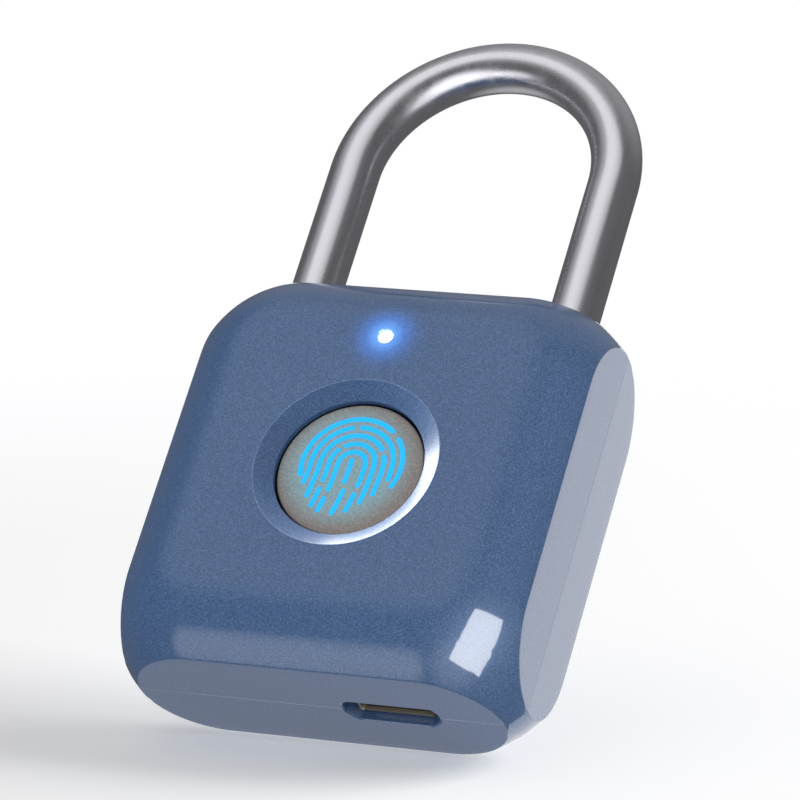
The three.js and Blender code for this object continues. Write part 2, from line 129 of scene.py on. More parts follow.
def applied(obj, smooth_angle=30.0):
    """Bakes the object's modifiers into its mesh."""
    deps = bpy.context.evaluated_depsgraph_get()
    mesh = bpy.data.meshes.new_from_object(obj.evaluated_get(deps))
    obj.modifiers.clear()
    obj.data = mesh
    mesh.shade_smooth()
    mesh.set_sharp_from_angle(angle=math.radians(smooth_angle))
    return obj


def cut(obj, cutters, smooth_angle=30.0):
    """Subtracts the cutters from the object and deletes them."""
    for cutter in cutters:
        mod = obj.modifiers.new("cut", "BOOLEAN")
        mod.operation = "DIFFERENCE"
        mod.solver = "EXACT"
        mod.object = cutter
    applied(obj, smooth_angle)
    for cutter in cutters:
        bpy.data.objects.remove(cutter)
    return obj


def loft(name, rings, closed=False, smooth_angle=30.0):
    """Skins a list of equal rings; the ends are capped, or joined to each other when closed."""
    n = len(rings[0])
    verts = [p for ring in rings for p in ring]
    faces = []
    count = len(rings)
    for i in range(count if closed else count - 1):
        j = (i + 1) % count
        for k in range(n):
            m = (k + 1) % n
            faces.append((i * n + k, i * n + m, j * n + m, j * n + k))
    if not closed:
        faces.append(tuple(range(n))[::-1])
        faces.append(tuple(range((count - 1) * n, count * n)))
    return new_object(name, verts, faces, smooth_angle)


def turned(name, profile, centre, axis="Y", sides=96, closed=False, smooth_angle=30.0):
    """A turned piece: profile is (radius, height along the axis)."""
    rings = []
    for radius, height in profile:
        ring = []
        for k in range(sides):
            a = 2 * math.pi * k / sides
            c, s = radius * math.cos(a), radius * math.sin(a)
            if axis == "Y":
                ring.append((centre[0] + c, height, centre[1] + s))
            else:
                ring.append((centre[0] + c, centre[1] + s, height))
        rings.append(ring)
    return loft(name, rings, closed, smooth_angle)


def bend(before, corner, after, size, steps):
    """A curve that takes the place of a corner, from size before it to size after it."""
    start = corner + (before - corner).normalized() * size
    end = corner + (after - corner).normalized() * size
    out = []
    for k in range(steps + 1):
        t = k / steps
        out.append(tuple(start * (1 - t) ** 2 + corner * 2 * t * (1 - t) + end * t * t))
    return out


def rounded(points, corners, steps=4):
    """Rounds the given corners of a polyline; corners maps an index to its cut-back length."""
    out = []
    for i, p in enumerate(points):
        if i not in corners:
            out.append(p)
            continue
        before, corner, after = Vector(points[i - 1]), Vector(p), Vector(points[(i + 1) % len(points)])
        size = min(corners[i], 0.45 * (before - corner).length, 0.45 * (after - corner).length)
        out += bend(before, corner, after, size, steps)
    return out


# ---- body halves -----------------------------------------------------------------------------


def core_columns(side_steps, corner_steps):
    """(foot x, foot z, direction x, direction z) round the core rectangle, from the centre."""
    corners = [(CORE_X, CORE_Z), (-CORE_X, CORE_Z), (-CORE_X, -CORE_Z), (CORE_X, -CORE_Z)]
    out = []
    for i, corner in enumerate(corners):
        before = corners[i - 1]
        start = math.radians(90 * i)
        for k in range(side_steps):
            t = k / side_steps
            foot = [before[0] + (corner[0] - before[0]) * t, before[1] + (corner[1] - before[1]) * t]
            out.append((*foot, math.cos(start), math.sin(start)))
        for k in range(corner_steps):
            a = start + math.radians(90) * k / corner_steps
            out.append((*corner, math.cos(a), math.sin(a)))
    return out


def plane_reach(column, y, inset, side):
    """How far from its foot a column gets before it meets a flat side, at depth y."""
    fx, fz, dx, dz = column
    thick = HALVES[side][0]
    reach = REACH + FLAT_R + 1
    half_w = HALF_W - inset - DRAFT * abs(y) / thick
    if abs(dx) > 1e-6:
        reach = min(reach, (half_w - fx * math.copysign(1, dx)) / abs(dx))
    if abs(dz) > 1e-6:
        reach = min(reach, (HALF_H - inset - fz * math.copysign(1, dz)) / abs(dz))
    return reach


def pillow(angle, side, inset=0.0):
    """(rho, depth) on the pillow's curve: 0 is the flat face's rim, a right angle the parting plane."""
    thick, curve = HALVES[side]
    across = math.sin(angle)
    return FLAT_R + (REACH - inset) * across, (thick - inset) * (1 - across**curve) ** (1 / curve)


def outer_profile(column, side):
    """(rho, depth) from the flat face's rim over the pillow and the crisp edge to the parting plane.

    The curve ends where it meets a flat side. Close to the parting plane an extra ring keeps the
    seam's small bevel narrow.
    """
    low, high = 0.0, math.pi / 2
    for _ in range(40):
        mid = (low + high) / 2
        rho, y = pillow(mid, side)
        if rho < plane_reach(column, y, 0, side):
            low = mid
        else:
            high = mid
    last = min(low, math.radians(89.7))
    curve_steps, flat_steps, fillet_steps = 36, 6, 4
    curve = [pillow(last * k / curve_steps, side) for k in range(curve_steps + 1)]
    rho_edge, y_edge = curve[-1]
    y_seam = min(SEAM_Y, y_edge * 0.6)
    flat = []
    for k in range(1, flat_steps + 1):
        y = y_edge + (y_seam - y_edge) * k / flat_steps
        rho = plane_reach(column, y, 0, side)
        flat.append((min(rho, rho_edge) if y_edge < THIN_FLAT else rho, y))
    rho_end, y_end = flat.pop()
    flat += [(rho_end, y_end + 0.06 * (flat[-1][1] - y_end)), (rho_end, y_end)]
    before, edge, after = Vector(curve[-2]), Vector(curve[-1]), Vector(flat[0])
    size = min(EDGE_FILLET, 0.4 * (after - edge).length, 0.4 * (before - edge).length)
    fillet = bend(before, edge, after, size, fillet_steps)
    return curve[:-1] + fillet + flat + [(rho_end - SEAM_PULL, LAND_Y)]


def inner_profile(column, side):
    """(rho, depth) of the inside skin, from the parting plane back to the flat face's rim."""
    out = []
    steps = 8
    for k in range(steps + 1):
        rho, y = pillow(math.radians(89.5) * (1 - k / steps), side, WALL)
        y = max(y, LAND_Y)
        out.append((min(rho, plane_reach(column, y, WALL, side)), y))
    return out


def half_columns(side):
    """The 3-D points of each column, from the face's inner rim out over the body and back inside."""
    thick = HALVES[side][0]
    lip_y = thick - LIP_DEPTH
    for column in core_columns(SIDE_COLUMNS, CORNER_COLUMNS):
        fx, fz, dx, dz = column

        def at(rho, y):
            return (fx + rho * dx, side * y, MID_Z + fz + rho * dz)

        rim = at(FLAT_R, thick)
        points = []
        inner = [at(rho, y) for rho, y in inner_profile(column, side)]
        outer = [at(rho, y) for rho, y in outer_profile(column, side)]
        if side < 0:
            turn = math.atan2(rim[2] - SENSOR_Z, rim[0])
            ring = [(LIP_R, thick - WALL), (LIP_R, lip_y), (CONE_R, thick), (CONE_R + 0.6, thick)]
            ring = rounded(ring, {1: 0.07, 2: 0.16}, 4)
            for radius, y in ring:
                points.append((radius * math.cos(turn), side * y, SENSOR_Z + radius * math.sin(turn)))
            base = Vector(points[-1])
            for k in range(1, FACE_RINGS):
                points.append(tuple(base.lerp(Vector(rim), k / FACE_RINGS)))
        else:
            centre = Vector((0, side * thick, MID_Z))
            for k in range(1, FACE_RINGS):
                points.append(tuple(centre.lerp(Vector(rim), k / FACE_RINGS)))
        points += outer + inner
        if side > 0:
            centre = Vector((0, side * (thick - WALL), MID_Z))
            points.append(tuple(Vector(inner[-1]).lerp(centre, 0.9)))
        yield points


def slot_outline(grow):
    """The charging slot as (x, y): a flat opening with all four corners bevelled."""
    hw, ht = PORT_W / 2 + grow, PORT_T / 2 + grow
    points = [
        (-hw, ht - 1.2),
        (-hw, 0.5 - ht),
        (0.9 - hw, -ht),
        (hw - 0.5, -ht),
        (hw, 0.9 - ht),
        (hw, ht - 1.1),
        (hw - 1.2, ht),
        (1.2 - hw, ht),
    ]
    closed = rounded([(x, y, 0) for x, y in points], {i: 0.3 for i in range(8)}, 5)
    return [(PORT_X + p[0], PORT_Y + p[1]) for p in closed]


def slot_cutter():
    rings = []
    for z, grow in ((-0.5, 0.62), (0.12, 0.0), (3.0, 0.0)):
        rings.append([(x, y, z) for x, y in slot_outline(grow)])
    return loft("slot_cutter", rings)


def leg_cutter(x):
    profile = [(3.5, 38.0), (3.5, 41.4), (2.75, 41.4), (2.75, 41.85), (3.4, 42.5)]
    return turned("leg_cutter", profile, (x, 0), "Z", 64)


def screw_cutter(x, z):
    profile = [(1.0, 0.5), (1.0, SCREW_SEAT_Y), (1.95, SCREW_SEAT_Y), (1.95, 12)]
    return turned("screw_cutter", profile, (x, z), "Y", 48)


def led_cutter():
    profile = [(0.75, -6.0), (0.75, 0.08 - FRONT_T), (1.3, -0.47 - FRONT_T)]
    return turned("led_cutter", profile, (0, LED_Z), "Y", 48)


def column_skin(name, columns, ring_shaped, smooth_angle=24.0):
    """Skins columns that go round the body. Ring-shaped columns close on themselves; others end in caps."""
    n = len(columns[0])
    count = len(columns)
    verts = [p for column in columns for p in column]
    faces = []
    for i in range(count):
        j = (i + 1) % count
        for k in range(n if ring_shaped else n - 1):
            m = (k + 1) % n
            faces.append((i * n + k, j * n + k, j * n + m, i * n + m))
    if not ring_shaped:
        faces.append(tuple(i * n for i in range(count)))
        faces.append(tuple(i * n + n - 1 for i in range(count))[::-1])
    return new_object(name, verts, faces, smooth_angle)


def body_half(name, side, node):
    obj = column_skin(name, list(half_columns(side)), side < 0)
    cutters = [slot_cutter(), leg_cutter(-LEG_X), leg_cutter(LEG_X)]
    if side < 0:
        cutters.append(led_cutter())
    else:
        cutters += [screw_cutter(x, z) for x, z in SCREWS]
    cut(obj, cutters, 24)
    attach(obj, "lock_body")
    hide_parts(node)
    return obj


# ---- shackle ---------------------------------------------------------------------------------

# (distance from the tip, how much thinner the rod is there) of each leg's rounded end
LONG_END = [(0, 0.6), (0.15, 0.35), (0.4, 0.1)]
SHORT_END = [(0.5, 0.1), (0.15, 0.4), (0, 0.8)]


def shackle_path():
    """(point, direction) from the long leg's tip over the bow to the short leg's tip."""
    out = []
    steps = 60
    for k in range(steps):
        out.append(((-LEG_X, LONG_TIP + (BOW_Z - LONG_TIP) * k / steps), (0, 1)))
    bow = 120
    for k in range(bow):
        a = math.pi * (1 - k / bow)
        point = (LEG_X * math.cos(a), BOW_Z + LEG_X * math.sin(a))
        out.append((point, (math.sin(a), -math.cos(a))))
    for k in range(steps + 1):
        out.append(((LEG_X, BOW_Z + (SHORT_TIP - BOW_Z) * k / steps), (0, -1)))
    return out


def rod_ring(point, direction, radius, sides=72):
    ring = []
    for k in range(sides):
        a = 2 * math.pi * k / sides
        across, depth = radius * math.cos(a), radius * math.sin(a)
        ring.append((point[0] + direction[1] * across, depth, point[1] - direction[0] * across))
    return ring


def make_shackle():
    """The rod, with the bolt's notch in the short leg and the clip's groove in the long one."""
    start = [rod_ring((-LEG_X, LONG_TIP + d), (0, 1), ROD_R - r) for d, r in LONG_END]
    middle = [rod_ring(point, direction, ROD_R) for point, direction in shackle_path()[1:-1]]
    end = [rod_ring((LEG_X, SHORT_TIP + d), (0, -1), ROD_R - r) for d, r in SHORT_END]
    obj = loft("shackle_steel", start + middle + end)
    notch = [(8, 33.3), (13.0, 33.3), (13.0, 36.7), (8, 36.7)]
    notch = rounded([(x, z, 0) for x, z in notch], {1: 0.3, 2: 0.3}, 4)
    notch_rings = [[(p[0], y, p[1]) for p in notch] for y in (-4, 4)]
    groove = turned(
        "groove_cutter",
        [(1.9, 15.3), (4, 15.3), (4, 16.3), (1.9, 16.3)],
        (-LEG_X, 0),
        "Z",
        48,
        closed=True,
    )
    cut(obj, [loft("notch_cutter", notch_rings), groove])
    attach(obj, "shackle_body")
    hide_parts("shackle")
    return obj


# ---- sensor ----------------------------------------------------------------------------------


def make_sensor_disc():
    profile = [(0.2, WINDOW_Y), (5.0, WINDOW_Y), (6.75, WINDOW_Y), (7.02, WINDOW_Y + 0.04)]
    profile += [(7.12, WINDOW_Y + 0.14), (7.15, WINDOW_Y + 0.35), (7.15, INNER_Y), (0.2, INNER_Y)]
    obj = turned("sensor_window", profile, (0, SENSOR_Z), "Y", 160)
    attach(obj, "lock_body")
    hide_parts("sensor_disc")
    return obj


def ribbon(points, width, y_front, y_back):
    """A flat ribbon with round ends along points (x, z), as rings for a closed solid."""
    pts = [Vector(p) for p in points]
    left, right = [], []
    for i, p in enumerate(pts):
        a = pts[max(i - 1, 0)]
        b = pts[min(i + 1, len(pts) - 1)]
        side = (b - a).normalized().orthogonal() * width / 2
        left.append(p + side)
        right.append(p - side)

    def arc(centre, start):
        out = []
        v = Vector(start) - centre
        for k in range(1, 8):
            a = -math.pi * k / 8
            c, s = math.cos(a), math.sin(a)
            out.append(centre + Vector((v.x * c - v.y * s, v.x * s + v.y * c)))
        return out

    outline = left + arc(pts[-1], left[-1]) + right[::-1] + arc(pts[0], right[0])
    return [[(v.x, y, v.y) for v in outline] for y in (y_front, y_back)]


def make_recess_rim():
    """The satin painted face of the conical recess, a skin 0.03 mm proud of the cone."""
    outline = [(LIP_R - 0.01, 1.20), (LIP_R - 0.025, 1.05), (LIP_R - 0.01, 0.97)]
    outline += [(CONE_R - 0.06, 0.01), (CONE_R + 0.02, -0.025), (CONE_R + 0.11, -0.02)]
    outline += [(CONE_R + 0.1, 0.03), (CONE_R - 0.04, 0.12), (LIP_R + 0.08, 1.04)]
    profile = [(radius, depth - FRONT_T) for radius, depth in outline]
    obj = turned("sensor_recess_rim", profile, (0, SENSOR_Z), "Y", 160, closed=True, smooth_angle=35)
    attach(obj, "lock_body")
    return obj


ICON_Z = SENSOR_Z + 0.55
STROKE = 0.47
LEAN = 0.55
# Arches as (radius, start angle, end angle, left leg, right leg), from the outside in
STRANDS = [
    (4.95, 198, 52),
    (4.95, 38, -24),
    (4.05, 180, 104, 2.3),
    (4.05, 91, 0, 0.0, 1.3),
    (3.15, 180, 36, 3.7),
    (3.15, 20, 0, 0.0, 3.0),
    (2.25, 180, 140, 1.9),
    (2.25, 120, 0, 0.0, 4.0),
    (1.35, 180, 0, 2.9, 2.2),
]
# Loose strokes as (x, top, bottom), measured down from the arches' centre
LOWER = [
    (-2.25, 2.9, 4.7),
    (1.35, 3.2, 5.0),
    (-1.35, 3.9, 5.2),
    (-0.1, -0.45, 1.9),
    (0.15, 2.9, 5.4),
]


def leaning(x, d):
    """A point d below the arches' centre, moved a little to the left the lower it is."""
    return (x - LEAN * (d / 5.0) ** 2, ICON_Z - d)


def strand(radius, start, end, left_leg=0.0, right_leg=0.0):
    """One arch of the ridge pattern: an arc with legs that run down and lean a little to the left."""

    def leg(sign, length):
        steps = 14
        return [leaning(sign * radius, length * k / steps) for k in range(1, steps + 1)]

    points = leg(-1, left_leg)[::-1] if left_leg else []
    steps = max(8, int(abs(end - start) / 4))
    for k in range(steps + 1):
        a = math.radians(start + (end - start) * k / steps)
        points.append((radius * math.cos(a), ICON_Z + radius * math.sin(a)))
    if right_leg:
        points += leg(1, right_leg)
    return points


def lower_piece(x, top, bottom):
    steps = 8
    return [leaning(x, top + (bottom - top) * k / steps) for k in range(steps + 1)]


def make_icon():
    """The lit ridge pattern: a made-up set of arches, each a thin raised ribbon."""
    verts, faces = [], []
    strokes = [strand(*numbers) for numbers in STRANDS]
    strokes += [lower_piece(*numbers) for numbers in LOWER]
    for stroke in strokes:
        rings = ribbon(stroke, STROKE, WINDOW_Y - 0.025, WINDOW_Y + 0.05)
        n = len(rings[0])
        base = len(verts)
        verts += rings[0] + rings[1]
        for k in range(n):
            m = (k + 1) % n
            faces.append((base + k, base + m, base + n + m, base + n + k))
        faces.append(tuple(base + k for k in range(n))[::-1])
        faces.append(tuple(base + n + k for k in range(n)))
    obj = new_object("sensor_ridges", verts, faces, 30)
    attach(obj, "lock_body")
    return obj


def make_light_pipe():
    dome = [(0.06, 0.03), (0.3, 0.05), (0.5, 0.1), (0.62, 0.18), (0.7, 0.3)]
    profile = [(radius, depth - FRONT_T) for radius, depth in dome] + [(0.7, INNER_Y), (0.06, INNER_Y)]
    obj = turned("indicator_lens", profile, (0, LED_Z), "Y", 48)
    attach(obj, "lock_body")
    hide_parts("light_pipe")
    return obj


# ---- charging socket, screws, seals ----------------------------------------------------------


def socket_outline(grow):
    """The flat, keystone-shaped mouth of the charging socket."""
    hw, ht = 3.75 + grow, 1.3 + grow
    right = [(hw - 0.75, -ht), (hw, 0.35 - ht), (hw, ht)]
    points = [(-x, y) for x, y in reversed(right)] + right
    closed = rounded([(x, y, 0) for x, y in points], {i: 0.35 for i in range(6)}, 5)
    return [(PORT_X + p[0], PORT_Y + p[1]) for p in closed]


def make_socket():
    """The socket's metal shell, skinned up the outside, over the mouth's lip and back inside."""
    outer = [(6.1, 0.0), (1.35, 0.0), (1.1, 0.04), (0.98, 0.1)]
    inner = [(0.92, 0.02), (0.95, -0.12), (1.15, -0.22), (1.5, -0.26), (5.4, -0.26)]
    rings = [[(x, y, z) for x, y in socket_outline(grow)] for z, grow in outer + inner]
    obj = loft("socket_shell", rings)
    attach(obj, "lock_body")
    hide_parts("charging_port")
    return obj


def make_tongue():
    tongue_y = PORT_Y + 0.2
    hw, ht = 2.5, 0.33
    rings = []
    for z, grow in ((5.4, 0.0), (1.55, 0.0), (1.4, -0.06), (1.32, -0.16)):
        corners = [(-hw, -ht), (hw, -ht), (hw, ht), (-hw, ht)]
        shape = [(x + math.copysign(grow, x), y + math.copysign(grow, y), 0) for x, y in corners]
        shape = rounded(shape, {i: 0.12 for i in range(4)}, 3)
        rings.append([(PORT_X + p[0], tongue_y + p[1], z) for p in shape])
    obj = loft("socket_tongue", rings)
    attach(obj, "lock_body")
    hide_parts("port_tongue")
    return obj


def make_contacts():
    """Five flat contacts on the tongue."""
    half, front, back = 0.17, -0.03, 0.06
    verts, faces = [], []
    for k in range(5):
        x = PORT_X + (k - 2) * CONTACT_PITCH
        base = len(verts)
        for z in (1.42, 4.6):
            verts += [(x - half, front, z), (x + half, front, z), (x + half, back, z), (x - half, back, z)]
        for a in range(4):
            b = (a + 1) % 4
            faces.append((base + a, base + b, base + 4 + b, base + 4 + a))
        faces.append((base, base + 3, base + 2, base + 1))
        faces.append((base + 4, base + 5, base + 6, base + 7))
    obj = new_object("socket_contacts", verts, faces)
    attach(obj, "lock_body")
    return obj


def make_screw(index, x, z):
    """A pan-head screw with a six-lobe socket."""
    profile = [(0.03, -6.8), (0.5, -6.75), (0.8, -6.4), (0.8, SCREW_SEAT_Y)]
    profile += [(1.62, SCREW_SEAT_Y), (1.7, 7.83)]
    profile += [(1.7, 8.45), (1.62, 8.65), (1.42, 8.8), (1.1, 8.85), (0.03, 8.85)]
    obj = turned("screw_%d" % (index + 1), profile, (x, z), "Y", 64)
    rings = []
    for y in (8.1, 9.4):
        ring = []
        for k in range(96):
            a = 2 * math.pi * k / 96
            radius = 0.82 + 0.14 * math.cos(6 * a)
            ring.append((x + radius * math.cos(a), y, z + radius * math.sin(a)))
        rings.append(ring)
    cut(obj, [loft("lobe_cutter", rings)])
    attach(obj, "lock_body")
    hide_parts("case_screw_%d" % (index + 1))
    return obj


def make_leg_seal(name, x, node):
    """A soft ring with a rounded lip against the leg."""
    profile = [(2.62, 40.5), (2.57, 40.8), (2.62, 41.15), (2.8, 41.3), (3.35, 41.3), (3.44, 41.2)]
    profile += [(3.44, 40.3), (3.35, 40.2), (2.75, 40.2)]
    obj = turned(name, profile, (x, 0), "Z", 72, closed=True)
    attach(obj, "lock_body")
    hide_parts(node)
    return obj


# ---- materials -------------------------------------------------------------------------------


class Nodes:
    """Small helper round a material's node tree."""

    def __init__(self, name):
        self.material = bpy.data.materials.new(name)
        self.material.use_nodes = True
        self.tree = self.material.node_tree
        self.tree.nodes.clear()
        self.out = self.add("ShaderNodeOutputMaterial")
        self.shader = self.add("ShaderNodeBsdfPrincipled")
        self.link(self.shader, "BSDF", self.out, "Surface")
        coord = self.add("ShaderNodeTexCoord")
        self.coord = (coord, "Object")

    def add(self, kind, **settings):
        node = self.tree.nodes.new(kind)
        for key, value in settings.items():
            setattr(node, key, value)
        return node

    def link(self, a, output, b, socket):
        self.tree.links.new(a.outputs[output], b.inputs[socket])

    def set(self, **values):
        for key, value in values.items():
            name = key.replace("_", " ")
            self.shader.inputs[name].default_value = value

    def noise(self, scale, detail=2.0, roughness=0.5, stretch=None):
        node = self.add("ShaderNodeTexNoise")
        node.inputs["Scale"].default_value = scale
        node.inputs["Detail"].default_value = detail
        node.inputs["Roughness"].default_value = roughness
        if stretch:
            mapping = self.add("ShaderNodeMapping")
            mapping.inputs["Scale"].default_value = stretch
            self.link(self.coord[0], self.coord[1], mapping, "Vector")
            self.link(mapping, "Vector", node, "Vector")
        else:
            self.link(self.coord[0], self.coord[1], node, "Vector")
        return node

    def ramp(self, source, output, stops, interpolation="LINEAR"):
        node = self.add("ShaderNodeValToRGB")
        node.color_ramp.interpolation = interpolation
        elements = node.color_ramp.elements
        while len(elements) < len(stops):
            elements.new(0.5)
        for element, (position, colour) in zip(elements, stops):
            element.position = position
            element.color = (*colour, 1.0)
        self.link(source, output, node, "Fac")
        return node

    def map(self, source, output, low, high, to_low, to_high):
        node = self.add("ShaderNodeMapRange")
        sockets = ("From Min", "From Max", "To Min", "To Max")
        for socket, value in zip(sockets, (low, high, to_low, to_high)):
            node.inputs[socket].default_value = value
        self.link(source, output, node, "Value")
        return node

    def bump(self, source, output, strength, distance):
        node = self.add("ShaderNodeBump")
        node.inputs["Strength"].default_value = strength
        node.inputs["Distance"].default_value = distance
        self.link(source, output, node, "Height")
        self.link(node, "Normal", self.shader, "Normal")


def srgb(r, g, b):
    def linear(c):
        c /= 255.0
        return c / 12.92 if c <= 0.04045 else ((c + 0.055) / 1.055) ** 2.4

    return (linear(r), linear(g), linear(b))


def paint_material(name="flake_paint", coat_roughness=0.07):
    """Metallic blue paint with fine flakes under a clear coat."""
    n = Nodes(name)
    n.set(Metallic=0.12, Roughness=0.5, Coat_Weight=1.0, Coat_Roughness=coat_roughness, Coat_IOR=1.75)
    flakes = n.noise(6500, 1.5, 0.6)
    drift = n.noise(70, 3.0, 0.5)
    tone = n.ramp(
        flakes,
        "Fac",
        [(0.28, srgb(44, 76, 120)), (0.5, srgb(60, 94, 139)), (0.74, srgb(88, 120, 163))],
    )
    soft = n.ramp(drift, "Fac", [(0.35, (0.93, 0.95, 0.98)), (0.65, (1.0, 1.0, 1.0))])
    mix = n.add("ShaderNodeMix", data_type="RGBA", blend_type="MULTIPLY")
    mix.inputs[0].default_value = 1.0
    n.tree.links.new(tone.outputs["Color"], mix.inputs[6])
    n.tree.links.new(soft.outputs["Color"], mix.inputs[7])
    n.tree.links.new(mix.outputs[2], n.shader.inputs["Base Color"])
    rough = n.map(flakes, "Fac", 0.3, 0.7, 0.44, 0.56)
    n.link(rough, "Result", n.shader, "Roughness")
    n.bump(flakes, "Fac", 0.1, 0.00002)
    glow(n)
    return n.material


def glow(n):
    """The indicator's blue light spilling on the paint round it."""
    offset = n.add("ShaderNodeVectorMath", operation="DISTANCE")
    n.tree.links.new(n.coord[0].outputs["Object"], offset.inputs[0])
    offset.inputs[1].default_value = (0, -FRONT_T * MM, LED_Z * MM)
    ramp = n.ramp(
        n.map(offset, "Value", 0.0, 0.0042, 0.0, 1.0),
        "Result",
        [
            (0.0, (0.75, 0.9, 1.0)),
            (0.2, (0.10, 0.35, 0.95)),
            (0.45, (0.012, 0.10, 0.42)),
            (0.75, (0.0, 0.012, 0.07)),
            (1.0, (0.0, 0.0, 0.0)),
        ],
    )
    n.link(ramp, "Color", n.shader, "Emission Color")
    n.shader.inputs["Emission Strength"].default_value = 0.9


def steel_material(name, colour, roughness, stretch):
    """Bare metal with a fine grain, drawn out along the axes that stretch makes small."""
    spread = 0.06
    n = Nodes(name)
    n.set(Metallic=1.0, Roughness=roughness)
    fine = n.noise(900, 3.0, 0.6, stretch)
    tone = n.ramp(fine, "Fac", [(0.3, tuple(c * 0.9 for c in colour)), (0.7, colour)])
    n.link(tone, "Color", n.shader, "Base Color")
    rough = n.map(fine, "Fac", 0.3, 0.7, roughness - spread, roughness + spread)
    n.link(rough, "Result", n.shader, "Roughness")
    n.bump(fine, "Fac", 0.06, 0.00003)
    return n.material


def plain_material(name, colour, roughness, metallic=0.0, grain=1500, depth=0.00003):
    """Plastic, rubber or cast metal with an even fine grain."""
    darkest = 0.85
    spread = 0.07
    n = Nodes(name)
    n.set(Metallic=metallic, Roughness=roughness)
    fine = n.noise(grain, 3.0, 0.55)
    tone = n.ramp(fine, "Fac", [(0.3, tuple(c * darkest for c in colour)), (0.7, colour)])
    n.link(tone, "Color", n.shader, "Base Color")
    rough = n.map(fine, "Fac", 0.3, 0.7, roughness - spread, roughness + spread)
    n.link(rough, "Result", n.shader, "Roughness")
    n.bump(fine, "Fac", 0.15, depth)
    return n.material


def window_material():
    """Satin greige window, lit from behind round the ridges."""
    n = Nodes("sensor_glass")
    n.set(Roughness=0.32)
    fine = n.noise(4200, 2.0, 0.55)
    tone = n.ramp(fine, "Fac", [(0.3, srgb(122, 114, 110)), (0.7, srgb(150, 142, 136))])
    n.link(tone, "Color", n.shader, "Base Color")
    n.bump(fine, "Fac", 0.1, 0.00001)
    reach = n.add("ShaderNodeVectorMath", operation="DISTANCE")
    n.tree.links.new(n.coord[0].outputs["Object"], reach.inputs[0])
    reach.inputs[1].default_value = (-0.4 * MM, WINDOW_Y * MM, (SENSOR_Z + 0.3) * MM)
    near = n.map(reach, "Value", 0.0045, 0.0072, 0.0, 1.0)
    lit = n.ramp(near, "Result", [(0.0, (0.0, 0.145, 0.2)), (1.0, (0.0, 0.0, 0.0))], "EASE")
    n.link(lit, "Color", n.shader, "Emission Color")
    n.shader.inputs["Emission Strength"].default_value = 1.0
    return n.material


def lit_material(name, colour, strength):
    """A surface that shines by itself."""
    n = Nodes(name)
    n.set(Roughness=0.35)
    fine = n.noise(700, 2.0, 0.5)
    tone = n.ramp(fine, "Fac", [(0.3, tuple(c * 0.93 for c in colour)), (0.7, colour)])
    n.link(tone, "Color", n.shader, "Emission Color")
    n.link(tone, "Color", n.shader, "Base Color")
    n.shader.inputs["Emission Strength"].default_value = strength
    return n.material


def board_material():
    """Green board lacquer with a net of fine tracks."""
    n = Nodes("solder_mask")
    n.set(Roughness=0.45)
    brick = n.add("ShaderNodeTexVoronoi", feature="DISTANCE_TO_EDGE")
    brick.inputs["Scale"].default_value = 520
    n.link(n.coord[0], n.coord[1], brick, "Vector")
    tone = n.ramp(brick, "Distance", [(0.02, (0.06, 0.30, 0.12)), (0.08, (0.02, 0.16, 0.06))])
    n.link(tone, "Color", n.shader, "Base Color")
    n.bump(brick, "Distance", 0.2, 0.00003)
    return n.material


def give(obj, material):
    obj.data.materials.clear()
    obj.data.materials.append(material)


# ---- the object ------------------------------------------------------------------------------

paint = paint_material()
rim_paint = paint_material("rim_paint", 0.26)
steel = steel_material("polished_rod", (0.78, 0.77, 0.82), 0.28, (1.0, 1.0, 0.06))
socket_metal = steel_material("warm_plating", (0.60, 0.52, 0.40), 0.36, (1.0, 1.0, 1.0))
hardware = steel_material("plated_steel", (0.55, 0.55, 0.58), 0.3, (1.0, 1.0, 1.0))
brass = steel_material("gold_contacts", (0.75, 0.55, 0.22), 0.3, (1.0, 1.0, 0.2))
zinc = plain_material("cast_zinc", (0.42, 0.43, 0.45), 0.5, 0.9, 1800)
window = window_material()
ridges = lit_material("ridge_light", srgb(0, 160, 252), 0.72)
lens = lit_material("indicator_light", (0.85, 0.95, 1.0), 3.0)
rubber = plain_material("seal_rubber", (0.018, 0.018, 0.02), 0.75, 0.0, 2400, 0.00004)
dark = plain_material("dark_moulding", (0.03, 0.03, 0.035), 0.5)
cream = plain_material("cream_moulding", (0.55, 0.47, 0.34), 0.45)
chip = plain_material("chip_case", (0.02, 0.02, 0.022), 0.5, 0.0, 3200)
foil = plain_material("pouch_foil", (0.50, 0.51, 0.54), 0.35, 0.7, 900)
red_wire = plain_material("red_jacket", (0.45, 0.03, 0.02), 0.45)
black_wire = plain_material("black_jacket", (0.015, 0.015, 0.016), 0.45)
board = board_material()

give(body_half("front_half", -1, "front_shell"), paint)
give(body_half("rear_half", 1, "rear_shell"), paint)
give(make_shackle(), steel)
give(make_sensor_disc(), window)
give(make_icon(), ridges)
give(make_recess_rim(), rim_paint)
give(make_light_pipe(), lens)
give(make_socket(), socket_metal)
give(make_tongue(), cream)
give(make_contacts(), brass)
for i, (sx, sz) in enumerate(SCREWS):
    give(make_screw(i, sx, sz), hardware)
give(make_leg_seal("entry_seal_left", -LEG_X, "leg_seal_left"), rubber)
give(make_leg_seal("entry_seal_right", LEG_X, "leg_seal_right"), rubber)

